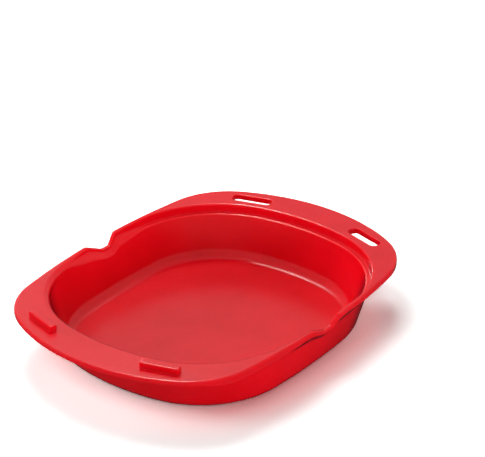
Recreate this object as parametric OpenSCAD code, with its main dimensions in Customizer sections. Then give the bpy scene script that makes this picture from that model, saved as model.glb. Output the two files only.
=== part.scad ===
// Folding microwave egg cooker: one shallow open dish, moulded in one piece of silicone rubber.
// X runs along the fold line, from notch to notch. Y runs across it, from the tabs to the slots.
// Z is up, and the origin is at the middle of the flat base. Sizes are in millimetres.

/* [Flange] */
// Length over the two flange ends
flange_len = 250; // [238:1:264]
// Width over the rim on the fold line, as if it had no notches
rim_w = 181; // [175:1:188]
// Radius of the long sides, which bow out a little
side_r = 489; // [380:1:700]
// Radius of the flange's ends
flange_end_r = 128; // [122:1:140]
// Radius of the flange's four corners
flange_corner_r = 49; // [43:1:54]
// Thickness of the flange's edge at the ends
flange_t = 3.3; // [2.6:0.1:4.4]
// Height of the rim's outer face beside the tabs' flange
tab_collar_h = 5.4; // [4.8:0.1:6]
// Height of the rim's outer face beside the slots' flange
slot_collar_h = 4.4; // [3.8:0.1:5]
// Rounding of the flange's upper edges
lip_r = 1.2; // [0.8:0.1:1.4]
// Rounding of the flange's lower edge
under_r = 0.7; // [0.4:0.1:1]

/* [Opening] */
// Width of the flange in the middle of each end
end_w = 24; // [22:0.5:26]
// Radius of the opening's ends
open_end_r = 146; // [140:1:156]
// Radius of the opening's corners
open_corner_r = 69; // [64:1:74]
// Width of the plain rim beside the fold
wall_t = 3; // [2.8:0.1:3.6]
// Depth of the ledge in the half with the slots, below the flange's top
ledge_depth = 5.6; // [5:0.1:7]
// Width of the ledge
ledge_w = 3; // [2.4:0.1:3.6]
// Rounding of the ledge's edge
ledge_r = 1.1; // [0.7:0.1:1.3]
// How far the wall above the ledge leans out
ledge_draft = 0.4; // [0:0.1:0.8]
// Broad rounding of the inner edge in the half with the tabs
tab_lip_r = 4.4; // [3.4:0.1:5]

/* [Lower wall and base] */
// Height from the table to the flange's top
height = 36.5; // [32:0.5:42]
// Lean of the lower wall away from upright, in degrees
wall_lean = 16.5; // [12:0.5:19]
// Thickness of the lower wall, measured level
lower_t = 3.2; // [2.6:0.1:4]
// Radius between the wall and the base, outside
base_r = 9; // [7:0.5:11]
// Radius between the wall and the floor, inside
floor_r = 8; // [6:0.5:10]
// Thickness of the floor
floor_t = 3; // [2.4:0.1:4]

/* [Notches at the fold] */
// Reach of each notch at the rim, from the fold line toward the tabs
notch_tab_w = 14.3; // [12:0.1:16]
// Reach of each notch at the rim, from the fold line toward the slots
notch_slot_w = 13.1; // [11:0.1:15]
// Depth of each notch below the rim
notch_depth = 6.5; // [5:0.1:7.2]
// Steepness of a notch's flank on the tabs' side, in degrees
notch_tab_flank = 25; // [22:1:34]
// Steepness of a notch's flank on the slots' side, in degrees
notch_slot_flank = 44; // [38:1:54]
// Rounding where the flank on the tabs' side meets the notch's floor
notch_tab_r = 11; // [4:0.5:12]
// Rounding where the flank on the slots' side meets the notch's floor
notch_slot_r = 3; // [2:0.5:6]
// Rounding where a flank meets the rim
notch_top_r = 3.3; // [1:0.1:4]
// Distance from the fold line up to which the rim is plain, without ledge, broad lip or collar
plain_to = 12; // [8:1:20]
// Distance from the fold line at which the ledge, the broad lip and the collar are full
full_from = 46; // [36:1:56]

/* [Tabs and slots] */
// Distance from the side of the rim in to the middle of each tab and slot
latch_in = 45.4; // [43:0.2:48]
// Distance from the opening's edge to the middle of a tab or slot
latch_out = 10.2; // [9.4:0.1:11]
// Length of a slot
slot_len = 27; // [25.5:0.5:29]
// Width of a slot
slot_w = 8; // [7.6:0.2:9.4]
// Corner radius of a slot
slot_r = 3; // [2:0.25:3.75]
// Length of a tab
tab_len = 24.5; // [20:0.5:25]
// Thickness of a tab
tab_t = 5; // [4:0.25:6]
// Height of a tab above the flange
tab_h = 4; // [3:0.25:5]
// Rounding of a tab's upright corners and long upper edges
tab_r = 0.8; // [0.5:0.1:1.2]

/* [Hidden] */
$fn = 48;
// Spacing of the sections across the notches, and their number in the rest of each quarter
notch_step = 1.25;
quarter_sections = 24;
// Steps round each edge of the base and floor, round the rim's inner edge, and down from there to
// the lower wall
foot_steps = 4;
lip_steps = 4;
face_steps = 5;
// Shares of the underside's height and width over which its curve keeps to the wall's lean and to
// level, and its rise toward the wall for each millimetre of width at the edge
lean_share = 0.7;
level_share = 0.6;
edge_rise = 0.03;
// Flange widths between which its edge changes from the collar's height to its own thickness
narrow = 13.5;
wide = 18.5;
// Radius in the corner between the upper wall and the ledge
ledge_fillet = 0.6;
// Height of the shoulder that carries the collar on the lower wall
shoulder_h = 3.4;
// Outlines: half width, half length, and the radii of the side, end and corner arcs
flange_line = [rim_w / 2, flange_len / 2, side_r, flange_end_r, flange_corner_r];
open_line = [rim_w / 2 - wall_t, flange_len / 2 - end_w, side_r - wall_t, open_end_r, open_corner_r];
// Inset that the lower wall gains for each millimetre of depth
lean = tan(wall_lean);
// Depth and inset at which the outer face of the lower wall meets the shoulder
shoulder = ledge_depth + shoulder_h;
shoulder_in = ledge_w + lean * shoulder_h - lower_t;
// Depth below the flange's top down to which a notch presses the wall together
sink_depth = 2 * shoulder;
// Extra length of a cut, so that it runs clear of the surface
clear = 2;
// Distance of a tab's or slot's middle from the centre of the opening's end arc, and the turn
// about that centre
latch_r = open_end_r + latch_out;
latch_turn = asin((rim_w / 2 - latch_in) / latch_r);

// Inset of the centre of an arc of radius r that rounds the foot of a leaning face onto level
// ground: the face is inset by i at depth d, and the ground is at depth g
function foot_in(i, d, g, r) = i + lean * (g - r + r * sin(wall_lean) - d) + r * cos(wall_lean);

// Centre of the corner arc that touches the side arc and the end arc from inside
function corner_centre(o) =
    let (c1 = [o[0] - o[2], 0])
    let (c2 = [0, o[1] - o[3]])
    let (d = norm(c2 - c1))
    let (u = (c2 - c1) / d)
    let (r1 = o[2] - o[4])
    let (r2 = o[3] - o[4])
    let (x = (d * d + r1 * r1 - r2 * r2) / (2 * d))
    c1 + x * u + sqrt(r1 * r1 - x * x) * [-u[1], u[0]];

// Distance from the middle to the circle of radius r round c, along the unit vector u
function hit(c, r, u) = u * c + sqrt(pow(u * c, 2) - c * c + r * r);

// Distance from the middle to outline o, inset by i, at angle a
function reach(o, i, a) =
    let (u = [abs(cos(a)), abs(sin(a))])
    let (c1 = [o[0] - o[2], 0])
    let (c2 = [0, o[1] - o[3]])
    let (k = corner_centre(o))
    let (p1 = k + (k - c1) / norm(k - c1) * (o[4] - i))
    let (p2 = k + (k - c2) / norm(k - c2) * (o[4] - i))
    u[0] * p1[1] > u[1] * p1[0] ? hit(c1, o[2] - i, u)
        : u[0] * p2[1] < u[1] * p2[0] ? hit(c2, o[3] - i, u)
        : hit(k, o[4] - i, u);

// Distances to the opening's edge and to the flange's edge, inset by i, at angle a
function inner(i, a) = reach(open_line, i, a);
function outer(i, a) = max(reach(flange_line, i, a), reach(open_line, i - wall_t, a));

// Smooth step from 0 at a to 1 at b
function ease(x, a, b) =
    let (t = min(1, max(0, (x - a) / (b - a))))
    t * t * (3 - 2 * t);

// Points of an arc round c from angle a to angle b, in n steps
function arc(c, r, a, b, n) =
    [for (i = [0:n]) c + r * [cos(a + (b - a) * i / n), sin(a + (b - a) * i / n)]];

// Points of a cubic curve with control points p, in n steps
function cubic(p, n) =
    [for (i = [0:n]) let (t = i / n, s = 1 - t)
        s * s * s * p[0] + 3 * s * s * t * p[1] + 3 * s * t * t * p[2] + t * t * t * p[3]];

// Outer rounding of the base and inner rounding of the floor, the same all round, as insets from
// the opening's edge and depths below its top
base_edge = arc([foot_in(shoulder_in, shoulder, height, base_r), height - base_r],
    base_r, 90, 180 - wall_lean, foot_steps);
floor_edge = arc([foot_in(ledge_w, ledge_depth, height - floor_t, floor_r),
    height - floor_t - floor_r], floor_r, 180 - wall_lean, 90, foot_steps);
outer_lip = arc([lip_r, lip_r], lip_r, 180, 270, 2);

// Inner face of the rim, from its top to the lower wall: plain beside the fold, stepped by the
// ledge in the half with the slots, and broadly rounded in the half with the tabs
plain_face = let (r = wall_t / 2)
    let (foot = [ledge_w + lean * shoulder_h, shoulder])
    let (pull = (shoulder - r) / 3)
    let (side = cubic([[0, r], [0, r + pull], foot - pull * [lean, 1], foot], face_steps))
    concat(arc([-r, r], r, 270, 360, lip_steps), [for (i = [1:face_steps]) side[i]]);
ledge_face = concat(arc([-lip_r - ledge_draft, lip_r], lip_r, 270, 360, lip_steps),
    arc([ledge_fillet, ledge_depth - ledge_fillet], ledge_fillet, 180, 90, 1),
    arc([ledge_w + lean * ledge_r * (1 - sin(wall_lean)) - ledge_r * cos(wall_lean),
        ledge_depth + ledge_r], ledge_r, 270, 360 - wall_lean, 2));
broad_face = concat(arc([ledge_w - tab_lip_r, tab_lip_r], tab_lip_r, 270, 360,
    lip_steps + face_steps - 1),
    [[ledge_w, ledge_depth]]);

// Distance across the fold at angle a, and how much of the rim's full form it has there
function across(a) = inner(0, a) * sin(a);
function fullness(a) = ease(abs(across(a)), plain_to, full_from);

// Rim's outer face and underside at angle a, from the lower wall up to the foot of the upper
// rounding: a plain flare beside the fold, and a collar or a flange away from it
function outer_face(a) =
    let (w = outer(0, a) - inner(-wall_t, a))
    let (collar = across(a) > 0 ? slot_collar_h : tab_collar_h)
    let (t = collar + (flange_t - collar) * ease(w, narrow, wide))
    let (turn = under_r * (1 - cos(45)))
    let (p0 = [inner(shoulder_in, a), shoulder])
    let (p3 = [outer(turn, a), t - turn])
    let (p1 = p0 + lean_share * (shoulder - t) * [lean, -1])
    let (p2 = p3 + [level_share * (p0[0] - p3[0]), edge_rise * w])
    let (q3 = [outer(0, a), 2 * lip_r])
    let (pull = (shoulder - 2 * lip_r) / 3)
    let (full = concat(cubic([p0, p1, p2, p3], face_steps), [[outer(0, a), t - under_r]]))
    let (plain = concat(cubic([p0, p0 + pull * [lean, -1], q3 + [0, pull], q3], face_steps),
        [q3 - [0, lip_r / 2]]))
    full * fullness(a) + plain * (1 - fullness(a));

// Rim's inner face at angle a
function inner_face(a) =
    let (full = across(a) > 0 ? ledge_face : broad_face)
    let (face = full * fullness(a) + plain_face * (1 - fullness(a)))
    [for (p = face) [inner(p[0], a), p[1]]];

// Distance from the fold line at which a flank of f degrees and reach w has run out into the rim
function notch_end(w, f) = w + notch_top_r * tan(f / 2);

// Depth of a notch at distance y out from the fold line on one side, where its reach is w, its
// flank leans by f degrees and its floor rounding has radius r
function notch_side(y, w, f, r) =
    let (low = w - notch_depth / tan(f) - r * tan(f / 2))
    let (end = notch_end(w, f))
    y < low ? notch_depth
        : y < low + r * sin(f) ? notch_depth - r + sqrt(r * r - pow(y - low, 2))
        : y < end - notch_top_r * sin(f) ? (w - y) * tan(f)
        : y < end ? notch_top_r - sqrt(pow(notch_top_r, 2) - pow(end - y, 2))
        : 0;
function notch(y) = min(notch_side(-y, notch_tab_w, notch_tab_flank, notch_tab_r),
    notch_side(y, notch_slot_w, notch_slot_flank, notch_slot_r));

// Point p of the rim at angle a, as distance and depth, lowered by the notch: the rim sinks whole
// along the lean of the wall, and the wall below it is pressed together
function sunk(p, a) =
    let (drop = notch(across(a)) * max(0, 1 - p[1] / sink_depth))
    p + drop * [-lean, 1];

// Section at angle a, from the base's edge out, up over the flange and down to the floor's edge:
// distances from the middle and depths below the flange's top
function section(a) = concat(
    [for (p = base_edge) [inner(p[0], a), p[1]]],
    [for (p = concat(outer_face(a), [for (q = outer_lip) [outer(q[0], a), q[1]]],
        inner_face(a))) sunk(p, a)],
    [for (p = floor_edge) [inner(p[0], a), p[1]]]);

// Angles of the sections in one quarter, close together across the notch, and all round
quarter = let (end = max(notch_end(notch_tab_w, notch_tab_flank),
        notch_end(notch_slot_w, notch_slot_flank)))
    let (n = ceil(end / notch_step))
    let (a = atan2(n * notch_step, rim_w / 2))
    concat([for (i = [0:n]) atan2(i * notch_step, rim_w / 2)],
        [for (i = [1:quarter_sections]) a + (90 - a) * i / quarter_sections]);
angles = let (m = len(quarter) - 1)
    [for (q = [0:3], i = [0:m - 1]) 90 * q + (q % 2 == 0 ? quarter[i] : 90 - quarter[m - i])];

// Closed skin of the dish before it is slotted
module shell() {
    rings = [for (a = angles) [for (p = section(a)) [p[0] * cos(a), p[0] * sin(a), height - p[1]]]];
    count = len(rings);
    m = len(rings[0]);
    base = count * m;
    points = concat([for (ring = rings) each ring], [[0, 0, 0], [0, 0, floor_t]]);
    faces = [for (i = [0:count - 1])
        let (here = i * m, next = (i + 1) % count * m)
        each concat(
            [[base, here, next], [base + 1, next + m - 1, here + m - 1]],
            [for (j = [0:m - 2]) each [[here + j, next + j + 1, next + j],
                [here + j, here + j + 1, next + j + 1]]])];
    polyhedron(points, faces);
}

// Outline of a rectangle with rounded corners
function rounded(l, w, r) =
    [for (q = [0:3]) let (x = q == 0 || q == 3 ? 1 : -1, y = q < 2 ? 1 : -1)
        each arc([x * (l / 2 - r), y * (w / 2 - r)], r, 90 * q, 90 * (q + 1), 4)];

// Puts its children at the two latch places of the end with the slots
module latches() {
    for (s = [-1, 1])
        translate([0, open_line[1] - open_end_r, height])
            rotate([0, 0, -s * latch_turn]) translate([0, latch_r, 0]) children();
}

module slots() {
    depth = shoulder + clear;
    latches() translate([0, 0, -depth]) linear_extrude(depth + clear)
        polygon(rounded(slot_len, slot_w, slot_r));
}

// Bars with rounded upright corners and long upper edges, sunk a little into the flange
module tabs() {
    sunk = flange_t / 2;
    top = concat([[tab_t / 2, -sunk]], arc([tab_t / 2 - tab_r, tab_h - tab_r], tab_r, 0, 90, 4),
        arc([tab_r - tab_t / 2, tab_h - tab_r], tab_r, 90, 180, 4), [[-tab_t / 2, -sunk]]);
    mirror([0, 1, 0]) latches() intersection() {
        translate([0, 0, -sunk - clear]) linear_extrude(sunk + tab_h + 2 * clear)
            polygon(rounded(tab_len, tab_t, tab_r));
        rotate([90, 0, 90]) linear_extrude(tab_len + clear, center = true) polygon(top);
    }
}

module dish() {
    color("crimson") {
        difference() {
            shell();
            slots();
        }
        tabs();
    }
}

dish();
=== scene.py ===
import math

import bmesh
import bpy
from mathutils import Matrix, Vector


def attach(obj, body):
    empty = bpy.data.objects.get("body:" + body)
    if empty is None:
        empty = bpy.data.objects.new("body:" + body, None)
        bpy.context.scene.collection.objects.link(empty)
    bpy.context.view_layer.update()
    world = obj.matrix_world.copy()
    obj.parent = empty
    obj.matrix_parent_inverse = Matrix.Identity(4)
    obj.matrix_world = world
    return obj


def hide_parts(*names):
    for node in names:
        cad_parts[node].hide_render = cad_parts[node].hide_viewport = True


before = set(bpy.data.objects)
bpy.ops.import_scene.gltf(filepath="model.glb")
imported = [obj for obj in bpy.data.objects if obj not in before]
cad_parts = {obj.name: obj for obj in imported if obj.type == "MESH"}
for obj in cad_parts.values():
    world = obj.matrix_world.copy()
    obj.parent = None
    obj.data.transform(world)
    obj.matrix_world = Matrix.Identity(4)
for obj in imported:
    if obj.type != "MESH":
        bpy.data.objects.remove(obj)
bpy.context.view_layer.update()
scene = bpy.context.scene


# The view. The camera stands off the right of the end with the tabs and looks down across the
# dish to the slots. Its turn, drop, distance and lens are those that put the rim, the flange and
# the base on the photograph's outlines.
view_turn = math.radians(37.0)
view_drop = math.radians(27.1)
view_distance = 1.351
view_shift = (-0.0205, -0.0311)
focal_pixels = 2174
image_width = 485
rim_height = 0.0365

ahead = Vector(
    (
        -math.sin(view_turn) * math.cos(view_drop),
        math.cos(view_turn) * math.cos(view_drop),
        -math.sin(view_drop),
    )
)
sideways = Vector((math.cos(view_turn), math.sin(view_turn), 0))
upward = sideways.cross(ahead)
camera_data = bpy.data.cameras.new("view")
camera_data.sensor_fit = "HORIZONTAL"
camera_data.sensor_width = 36
camera_data.lens = camera_data.sensor_width * focal_pixels / image_width
camera_data.clip_end = 20
camera = bpy.data.objects.new("view", camera_data)
camera.location = (
    Vector((0, 0, rim_height))
    - ahead * view_distance
    - sideways * view_shift[0]
    - upward * view_shift[1]
)
camera.rotation_euler = ahead.to_track_quat("-Z", "Y").to_euler()
scene.collection.objects.link(camera)
scene.camera = camera
scene.view_settings.view_transform = "Standard"


# The light. Soft lamps stand round the dish: high at the back left and in front, low at the left
# and the right, and one at the back. Two small ones that only the gloss sees draw the bright
# streaks on the ledge and in the corner, and a white room fills in.


# Socket turns shader maths into nodes, and Graph makes any other node.
class Socket:
    def __init__(self, graph, out):
        self.graph = graph
        self.out = out

    def maths(self, operation, a, b):
        return self.graph.node("ShaderNodeMath", {"operation": operation}, {0: a, 1: b})

    def __add__(self, other):
        return self.maths("ADD", self, other)

    def __radd__(self, other):
        return self.maths("ADD", other, self)

    def __mul__(self, other):
        return self.maths("MULTIPLY", self, other)

    def __rmul__(self, other):
        return self.maths("MULTIPLY", other, self)


class Graph:
    def __init__(self, tree):
        self.tree = tree
        tree.nodes.clear()

    def node(self, kind, settings=None, values=None, output=0):
        made = self.tree.nodes.new(kind)
        for name, value in (settings or {}).items():
            setattr(made, name, value)
        for name, value in (values or {}).items():
            if isinstance(value, Socket):
                self.tree.links.new(value.out, made.inputs[name])
            else:
                made.inputs[name].default_value = value
        if made.outputs:
            return Socket(self, made.outputs[output])

    def mixed(self, share, first, second):
        """Mix of two colours, whose sockets share their names with others and go by number."""
        values = {0: share, 6: first, 7: second}
        return self.node("ShaderNodeMix", {"data_type": "RGBA"}, values, output=2)


def lamp(name, place, size, power, lights=False, shines=False):
    """Area lamp turned to the dish, which lights its skin or shines in its gloss."""
    data = bpy.data.lights.new(name, "AREA")
    data.shape = "RECTANGLE"
    data.size, data.size_y = size
    data.energy = power
    thing = bpy.data.objects.new(name, data)
    thing.location = place
    thing.rotation_euler = (-Vector(place)).to_track_quat("-Z", "Y").to_euler()
    thing.visible_camera = False
    thing.visible_diffuse = lights
    thing.visible_glossy = shines
    scene.collection.objects.link(thing)


lamp("key_lamp", place=(-0.35, 0.3, 0.95), size=(0.6, 0.6), power=5.8, lights=True)
lamp("front_lamp", place=(-0.1, -0.9, 0.85), size=(0.9, 0.6), power=5.7, lights=True)
lamp("left_lamp", place=(-1.1, -0.3, 0.3), size=(0.8, 0.3), power=8.5, lights=True)
lamp("right_lamp", place=(1.3, -0.2, 0.16), size=(1.2, 0.25), power=10, lights=True)
lamp("back_lamp", place=(0.2, 1.0, 0.6), size=(0.8, 0.6), power=2.5, lights=True)
lamp("ledge_spark", place=(-0.49, 0.47, 0.98), size=(0.16, 0.16), power=10, shines=True)
lamp("corner_spark", place=(-0.95, 0.65, 0.35), size=(0.15, 0.15), power=1.2, shines=True)

room_level = 0.03
gloss_level = 0.52
world = bpy.data.worlds.new("white_room")
world.use_nodes = True
scene.world = world
room = Graph(world.node_tree)
seen = room.node("ShaderNodeLightPath", output="Is Camera Ray")
in_gloss = room.node("ShaderNodeLightPath", output="Is Glossy Ray")
level = room_level + seen * (1 - room_level) + in_gloss * (gloss_level - room_level)
air = room.node("ShaderNodeBackground", None, {"Color": (1, 1, 1, 1), "Strength": level})
room.node("ShaderNodeOutputWorld", None, {"Surface": air})


# The table. A plain white sheet that takes the dish's soft shadow. The camera sees it well lit, so
# that it is white away from the shadow, and the gloss sees it dimmer. The white room goes on past
# its edge.
table_size = 1.5
table_tone = (0.7, 0.7, 0.7, 1)
camera_tone = (1.5, 1.66, 1.64, 1)
gloss_tone = (0.15, 0.15, 0.15, 1)

table_material = bpy.data.materials.new("white_table")
table_material.use_nodes = True
paint = Graph(table_material.node_tree)
seen = paint.node("ShaderNodeLightPath", output="Is Camera Ray")
in_gloss = paint.node("ShaderNodeLightPath", output="Is Glossy Ray")
tone = paint.mixed(in_gloss, paint.mixed(seen, table_tone, camera_tone), gloss_tone)
sheet = paint.node("ShaderNodeBsdfDiffuse", None, {"Color": tone})
paint.node("ShaderNodeOutputMaterial", None, {"Surface": sheet})

edge = table_size / 2
table_mesh = bpy.data.meshes.new("table")
corners = [(-edge, -edge, 0), (edge, -edge, 0), (edge, edge, 0), (-edge, edge, 0)]
table_mesh.from_pydata(corners, [], [(0, 1, 2, 3)])
table_mesh.materials.append(table_material)
table = bpy.data.objects.new("table", table_mesh)
scene.collection.objects.link(table)


# The dish. One compression moulding in satin red silicone rubber: a bowl with a leaning wall, a
# flange that widens towards both ends, a ledge in the slots' half, a broad lip in the tabs' half
# and a notch at each end of the fold. Its skin is a loft of sections round the middle.

# Sizes are in millimetres until the mesh is made. A half is the size across and along from the
# middle, and its radii are those of the side, end and corner arcs. A notch's side is how far out it
# reaches from the fold line, its flank's angle and the radius at its bottom.
flange_half = (90.49, 125.0)
flange_radii = (489.0, 128.0, 49.0)
rim_width = 3.0
opening_half = (87.49, 101.0)
opening_radii = (486.0, 146.0, 69.0)
dish_height = 36.5
flange_thickness = 3.3
tab_collar_height = 5.4
slot_collar_height = 4.4
narrow_flange, wide_flange = 13.5, 18.5
lip_radius = 1.2
lower_lip_radius = 0.7
ledge_depth = 5.6
ledge_width = 3.0
ledge_radius = 1.1
ledge_fillet = 0.6
ledge_draft = 0.4
broad_lip_radius = 4.4
shoulder_height = 3.4
wall_lean = math.radians(16.5)
lower_wall_thickness = 3.2
base_radius = 9.0
floor_radius = 8.0
floor_thickness = 3.0
notch_depth = 6.5
notch_rim_radius = 3.3
notch_tab_side = (14.3, math.radians(25), 11.0)
notch_slot_side = (13.1, math.radians(44), 3.0)
plain_to, full_from = 12.0, 46.0
notch_step = 0.4
quarter_sections = 90
base_steps = 10
underside_steps = 20
lower_lip_steps = 2
lip_steps = 6
face_steps = 36
floor_steps = 12
lean_share = 0.7
level_share = 0.6
edge_rise = 0.03

slope = math.tan(wall_lean)
shoulder_depth = ledge_depth + shoulder_height
shoulder_inset = ledge_width + slope * shoulder_height - lower_wall_thickness


def outline(half, radii):
    """Distance from the middle to side, end and corner arcs, as a function of inset and angle."""
    side, end, corner = radii
    side_centre = Vector((half[0] - side, 0))
    end_centre = Vector((0, half[1] - end))
    apart = (end_centre - side_centre).length
    along = (end_centre - side_centre) / apart
    x = (apart**2 + (side - corner) ** 2 - (end - corner) ** 2) / (2 * apart)
    off = math.sqrt((side - corner) ** 2 - x**2)
    corner_centre = side_centre + along * x + Vector((-along.y, along.x)) * off
    from_side = (corner_centre - side_centre).normalized()
    from_end = (corner_centre - end_centre).normalized()

    def reach(inset, angle):
        u = Vector((abs(math.cos(angle)), abs(math.sin(angle))))
        to_side = corner_centre + from_side * (corner - inset)
        to_end = corner_centre + from_end * (corner - inset)
        centre, radius = corner_centre, corner - inset
        if u.x * to_side.y > u.y * to_side.x:
            centre, radius = side_centre, side - inset
        elif u.x * to_end.y < u.y * to_end.x:
            centre, radius = end_centre, end - inset
        near = u.dot(centre)
        return near + math.sqrt(near**2 - centre.dot(centre) + radius**2)

    return reach


inner = outline(opening_half, opening_radii)
flange_edge = outline(flange_half, flange_radii)


def outer(inset, angle):
    return max(flange_edge(inset, angle), inner(inset - rim_width, angle))


def on_arc(centre, radius, degrees):
    t = math.radians(degrees)
    return Vector((centre[0] + radius * math.cos(t), centre[1] + radius * math.sin(t)))


def arc(centre, radius, start, stop, steps):
    return [on_arc(centre, radius, start + (stop - start) * i / steps) for i in range(steps + 1)]


def on_cubic(points, t):
    s = 1 - t
    p = [Vector(point) for point in points]
    return s**3 * p[0] + 3 * s * s * t * p[1] + 3 * s * t * t * p[2] + t**3 * p[3]


def smooth_step(value, low, high):
    t = min(1, max(0, (value - low) / (high - low)))
    return t * t * (3 - 2 * t)


def foot_inset(inset, depth, ground, radius):
    """Inset of the centre of the arc that rounds a leaning face onto level ground."""
    reached = ground - radius + radius * math.sin(wall_lean) - depth
    return inset + slope * reached + radius * math.cos(wall_lean)


lean_degrees = math.degrees(wall_lean)
floor_depth = dish_height - floor_thickness
base_centre = (
    foot_inset(shoulder_inset, shoulder_depth, dish_height, base_radius),
    dish_height - base_radius,
)
floor_centre = (
    foot_inset(ledge_width, ledge_depth, floor_depth, floor_radius),
    floor_depth - floor_radius,
)
base_edge = arc(base_centre, base_radius, 90, 180 - lean_degrees, base_steps)
outer_lip = arc((lip_radius, lip_radius), lip_radius, 180, 270, lip_steps)
floor_edge = arc(floor_centre, floor_radius, 180 - lean_degrees, 90, floor_steps)

# The rim's inner face has three forms: plain beside the fold, stepped in the slots' half and
# broadly rounded in the tabs' half. Each is drawn from its top at place 0 to the lower wall at the
# last place, and the bends between lie at the places named here.
lip_end, drop_end, fillet_end, ledge_end = 4, 5, 6, 7
broad_lip_end = 8
last_place = 9
plain_radius = rim_width / 2
plain_foot = Vector((ledge_width + slope * shoulder_height, shoulder_depth))
plain_pull = (shoulder_depth - plain_radius) / 3
plain_curve = (
    (0, plain_radius),
    (0, plain_radius + plain_pull),
    plain_foot - plain_pull * Vector((slope, 1)),
    plain_foot,
)
ledge_centre = (
    ledge_width
    + slope * ledge_radius * (1 - math.sin(wall_lean))
    - ledge_radius * math.cos(wall_lean),
    ledge_depth + ledge_radius,
)
fillet_centre = (ledge_fillet, ledge_depth - ledge_fillet)


def plain_face(place):
    if place < lip_end:
        return on_arc((-plain_radius, plain_radius), plain_radius, 270 + 90 * place / lip_end)
    return on_cubic(plain_curve, (place - lip_end) / (last_place - lip_end))


def ledge_face(place):
    def lip(turn):
        return on_arc((-lip_radius - ledge_draft, lip_radius), lip_radius, 270 + 90 * turn)

    def fillet(turn):
        return on_arc(fillet_centre, ledge_fillet, 180 - 90 * turn)

    def edge(turn):
        return on_arc(ledge_centre, ledge_radius, 270 + (90 - lean_degrees) * turn)

    if place < lip_end:
        return lip(place / lip_end)
    if place < drop_end:
        return lip(1).lerp(fillet(0), place - lip_end)
    if place < fillet_end:
        return fillet(place - drop_end)
    if place < ledge_end:
        return fillet(1).lerp(edge(0), place - fillet_end)
    return edge((place - ledge_end) / (last_place - ledge_end))


def broad_face(place):
    centre = (ledge_width - broad_lip_radius, broad_lip_radius)
    if place < broad_lip_end:
        return on_arc(centre, broad_lip_radius, 270 + 90 * place / broad_lip_end)
    end = Vector((ledge_width, ledge_depth))
    return on_arc(centre, broad_lip_radius, 360).lerp(end, place - broad_lip_end)


def notch_side(y, reach, flank, radius):
    """Depth of a notch at distance y out from the fold line, on one side of it."""
    low = reach - notch_depth / math.tan(flank) - radius * math.tan(flank / 2)
    end = reach + notch_rim_radius * math.tan(flank / 2)
    if y < low:
        return notch_depth
    if y < low + radius * math.sin(flank):
        return notch_depth - radius + math.sqrt(radius**2 - (y - low) ** 2)
    if y < end - notch_rim_radius * math.sin(flank):
        return (reach - y) * math.tan(flank)
    if y < end:
        return notch_rim_radius - math.sqrt(notch_rim_radius**2 - (end - y) ** 2)
    return 0


def section(angle):
    """Outline of the cut through the dish at this angle, as distances and depths.

    It runs from the base over the wall, the flange and the lip into the bowl, and it changes from
    the plain rim at the fold to the full one at the ends.
    """
    y = inner(0, angle) * math.sin(angle)
    full = smooth_step(abs(y), plain_to, full_from)
    drop = min(notch_side(-y, *notch_tab_side), notch_side(y, *notch_slot_side))
    collar = slot_collar_height if y > 0 else tab_collar_height
    full_face = ledge_face if y > 0 else broad_face

    width = outer(0, angle) - inner(-rim_width, angle)
    thinned = smooth_step(width, narrow_flange, wide_flange)
    face = collar + (flange_thickness - collar) * thinned
    start = Vector((inner(shoulder_inset, angle), shoulder_depth))
    centre = (lower_lip_radius, face - lower_lip_radius)
    corner = arc(centre, lower_lip_radius, 135, 180, lower_lip_steps)
    corner = [Vector((outer(inset, angle), depth)) for inset, depth in corner]
    stop = corner[0]
    rise = lean_share * (shoulder_depth - face)
    reach_in = Vector((level_share * (start.x - stop.x), edge_rise * width))
    flange_curve = (start, start + rise * Vector((slope, -1)), stop + reach_in, stop)
    plain_stop = Vector((outer(0, angle), 2 * lip_radius))
    pull = (shoulder_depth - 2 * lip_radius) / 3
    flare_curve = (
        start,
        start + pull * Vector((slope, -1)),
        plain_stop + Vector((0, pull)),
        plain_stop,
    )
    rim = []
    for i in range(underside_steps + 1):
        t = i / underside_steps
        rim.append(on_cubic(flare_curve, t).lerp(on_cubic(flange_curve, t), full))
    for i, point in enumerate(corner[1:], 1):
        lift = Vector((0, -i / lower_lip_steps * lip_radius / 2))
        rim.append((plain_stop + lift).lerp(point, full))
    rim += [Vector((outer(inset, angle), depth)) for inset, depth in outer_lip]
    for i in range(face_steps + 1):
        place = last_place * i / face_steps
        inset, depth = plain_face(place).lerp(full_face(place), full)
        rim.append(Vector((inner(inset, angle), depth)))
    for point in rim:
        sunk = drop * max(0, 1 - point.y / (2 * shoulder_depth))
        point += sunk * Vector((-slope, 1))
    foot = [Vector((inner(inset, angle), depth)) for inset, depth in base_edge]
    bowl = [Vector((inner(inset, angle), depth)) for inset, depth in floor_edge]
    return foot + rim + bowl


def turns():
    """Angles of the sections, close together across the notches."""
    reach, flank, _ = notch_tab_side
    across = math.ceil((reach + notch_rim_radius * math.tan(flank / 2)) / notch_step)
    quarter = [math.atan2(i * notch_step, flange_half[0]) for i in range(across + 1)]
    rest = math.pi / 2 - quarter[-1]
    quarter += [quarter[-1] + rest * i / quarter_sections for i in range(1, quarter_sections + 1)]
    half = quarter + [math.pi - a for a in quarter[-2:0:-1]]
    return half + [math.pi + a for a in half]


def shell():
    """Closed mesh of the dish before it is slotted."""
    made = bmesh.new()
    rings = [
        [
            made.verts.new((d * math.cos(a), d * math.sin(a), dish_height - depth))
            for d, depth in section(a)
        ]
        for a in turns()
    ]
    low = made.verts.new((0, 0, 0))
    high = made.verts.new((0, 0, floor_thickness))
    for here, after in zip(rings, rings[1:] + rings[:1]):
        for j in range(len(here) - 1):
            made.faces.new((here[j], after[j], after[j + 1], here[j + 1]))
        made.faces.new((low, after[0], here[0]))
        made.faces.new((high, here[-1], after[-1]))
    return made


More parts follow.
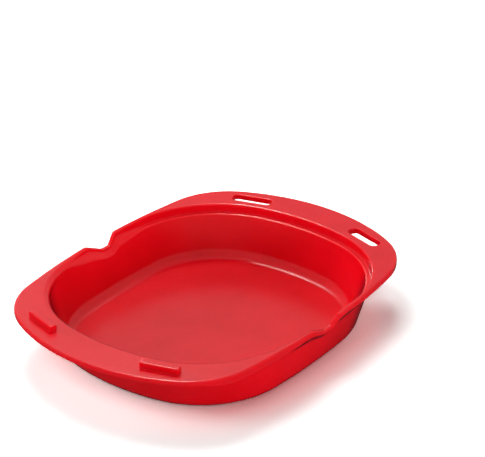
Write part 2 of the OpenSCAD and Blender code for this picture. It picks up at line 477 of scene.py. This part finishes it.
def stack(loops):
    """Closed mesh through a stack of like loops of points."""
    made = bmesh.new()
    rows = [[made.verts.new(p) for p in loop] for loop in loops]
    for lower, upper in zip(rows, rows[1:]):
        for i in range(len(lower)):
            j = (i + 1) % len(lower)
            made.faces.new((lower[i], lower[j], upper[j], upper[i]))
    made.faces.new(list(reversed(rows[0])))
    made.faces.new(rows[-1])
    return made


corner_steps = 8


def rounded(length, width, radius, grow=0.0):
    """Outline of a rectangle with rounded corners, grown evenly."""
    points = []
    for quarter, (x, y) in enumerate(((1, 1), (-1, 1), (-1, -1), (1, -1))):
        centre = (x * (length / 2 - radius), y * (width / 2 - radius))
        start = 90 * quarter
        points += arc(centre, radius + grow, start, start + 90, corner_steps)
    return points


def solid(name, made):
    """Object from a mesh in millimetres, put in metres."""
    bmesh.ops.recalc_face_normals(made, faces=made.faces)
    bmesh.ops.scale(made, vec=(0.001, 0.001, 0.001), verts=made.verts)
    mesh = bpy.data.meshes.new(name)
    made.to_mesh(mesh)
    made.free()
    thing = bpy.data.objects.new(name, mesh)
    scene.collection.objects.link(thing)
    return thing


def cut_or_join(body, tool, operation):
    """Cuts the tool out of the body or joins it on, and takes the tool away."""
    step = body.modifiers.new(operation.lower(), "BOOLEAN")
    step.operation = operation
    step.solver = "EXACT"
    step.object = tool
    graph = bpy.context.evaluated_depsgraph_get()
    done = bpy.data.meshes.new_from_object(body.evaluated_get(graph))
    body.modifiers.clear()
    body.data = done
    bpy.data.objects.remove(tool)


dish = solid("silicone_dish", shell())

# A slot and a tab on each side of the middle, mirrored over the fold line. Each has a length, a
# width and a corner radius, and both are turned with the flange's corner.
latch_in = 45.4
latch_out = 10.2
latch_radius = opening_radii[1] + latch_out
latch_turn = math.asin((flange_half[0] - latch_in) / latch_radius)
slot_size = (27.0, 8.0, 3.0)
slot_edge = 0.6
tab_size = (24.5, 5.0, 0.8)
tab_height = 4.0
tab_edge = 0.78
tab_fillet = 0.3
fillet_start = 0.03
slot_above = 2.0
slot_below = 2.0
edge_steps = 6

latch_middle = Vector((0, opening_half[1] - opening_radii[1]))
rise = [math.radians(90 * i / edge_steps) for i in range(edge_steps + 1)]
slot_levels = [(-shoulder_depth - slot_below, 0)]
for t in rise:
    slot_levels.append((slot_edge * (math.sin(t) - 1), slot_edge * (1 - math.cos(t))))
slot_levels.append((slot_above, slot_edge))
tab_levels = [(-flange_thickness / 2, tab_fillet)]
for t in rise:
    level = fillet_start + tab_fillet * (1 - math.cos(t))
    tab_levels.append((level, tab_fillet * (1 - math.sin(t))))
for t in rise:
    level = tab_height - tab_edge * (1 - math.sin(t))
    tab_levels.append((level, tab_edge * (math.cos(t) - 1)))


def latch(side, end, size, levels):
    """Closed mesh through outlines at these levels, on one side of one end of the dish."""
    lean = -side * latch_turn
    place = latch_middle + latch_radius * Vector((-math.sin(lean), math.cos(lean)))
    loops = []
    for level, grow in levels:
        points = []
        for x, y in rounded(*size, grow):
            across = place.x + x * math.cos(lean) - y * math.sin(lean)
            along = place.y + x * math.sin(lean) + y * math.cos(lean)
            points.append((across, end * along, dish_height + level))
        loops.append(points)
    return stack(loops)


for side in (-1, 1):
    cut_or_join(dish, solid("slot", latch(side, 1, slot_size, slot_levels)), "DIFFERENCE")
    cut_or_join(dish, solid("tab", latch(side, -1, tab_size, tab_levels)), "UNION")

# The skin. Points that the cuts left on each other are merged, and an edge stays sharp only where
# the skin bends hard.
merge_distance = 0.00002
shortest_edge = 0.00001
crease_angle = math.radians(35)
large_face_weight = 60
skin = bmesh.new()
skin.from_mesh(dish.data)
bmesh.ops.remove_doubles(skin, verts=skin.verts, dist=merge_distance)
bmesh.ops.dissolve_degenerate(skin, edges=skin.edges, dist=shortest_edge)
for face in skin.faces:
    face.smooth = True
for rib in skin.edges:
    rib.smooth = len(rib.link_faces) == 2 and rib.calc_face_angle(0) < crease_angle
skin.to_mesh(dish.data)
skin.free()
even = dish.modifiers.new("even_shading", "WEIGHTED_NORMAL")
even.keep_sharp = True
even.weight = large_face_weight

# The silicone. Its red is a little deeper in places, with flow marks from the mould, a fine grain,
# and a little bloom and dust. Painted shade darkens the red where the skin turns away from the
# camera, at its outlines.
silicone_red = (0.80, 0.003, 0.012, 1)
silicone_deep = (0.75, 0.002, 0.009, 1)
silicone_shade = (0.16, 0.001, 0.006, 1)
silicone_pale = (0.84, 0.060, 0.070, 1)
bloom_share = 0.06
dust_share = 0.15
mould_roughness = 0.2
flow_roughness = 0.04
bloom_roughness = 0.03
dust_roughness = 0.08
ripple_height = 0.0004
grain_height = 0.00003
glow_reach = 0.005
silicone = bpy.data.materials.new("satin_red_silicone")
silicone.use_nodes = True
rubber = Graph(silicone.node_tree)
spot = rubber.node("ShaderNodeTexCoord", output="Object")


def noise(scale, detail, roughness=0.5, distortion=0.0):
    values = {
        "Vector": spot,
        "Scale": scale,
        "Detail": detail,
        "Roughness": roughness,
        "Distortion": distortion,
    }
    return rubber.node("ShaderNodeTexNoise", None, values)


def band(value, low, high, most=1.0):
    values = {"Value": value, "From Min": low, "From Max": high, "To Max": most}
    return rubber.node("ShaderNodeMapRange", {"interpolation_type": "SMOOTHSTEP"}, values)


def bump(strength, distance, height, normal=None):
    values = {"Strength": strength, "Distance": distance, "Height": height}
    if normal:
        values["Normal"] = normal
    return rubber.node("ShaderNodeBump", None, values)


cloud = noise(scale=28, detail=3)
flow = noise(scale=90, detail=4, roughness=0.55, distortion=0.6)
grain = noise(scale=2600, detail=2, roughness=0.6)
bloom = band(noise(scale=420, detail=3, roughness=0.7), low=0.56, high=0.72)
dust = band(noise(scale=1500, detail=1), low=0.74, high=0.80)
facing = rubber.node("ShaderNodeLayerWeight", None, {"Blend": 0.5}, output="Facing")
# Painted shade: the colour darkens towards silicone_shade where the skin turns away from the
# camera.
painted_edge_shade = band(facing, low=0.62, high=0.95, most=0.95)
colour = rubber.mixed(band(cloud, low=0.35, high=0.65), silicone_deep, silicone_red)
colour = rubber.mixed(bloom_share * bloom + dust_share * dust, colour, silicone_pale)
colour = rubber.mixed(painted_edge_shade, colour, silicone_shade)
rough = mould_roughness + flow_roughness * flow + bloom_roughness * bloom + dust_roughness * dust
ripple = bump(strength=0.1, distance=ripple_height, height=noise(scale=120, detail=2))
skin_grain = bump(strength=0.08, distance=grain_height, height=grain, normal=ripple)
finish = {
    "Base Color": colour,
    "Roughness": rough,
    "Normal": skin_grain,
    "IOR": 1.4,
    "Specular IOR Level": 0.5,
    "Subsurface Weight": 0.7,
    "Subsurface Radius": (1, 0.1, 0.1),
    "Subsurface Scale": glow_reach,
}
body = rubber.node("ShaderNodeBsdfPrincipled", None, finish)
rubber.node("ShaderNodeOutputMaterial", None, {"Surface": body})
dish.data.materials.clear()
dish.data.materials.append(silicone)

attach(dish, "root")
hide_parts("dish")
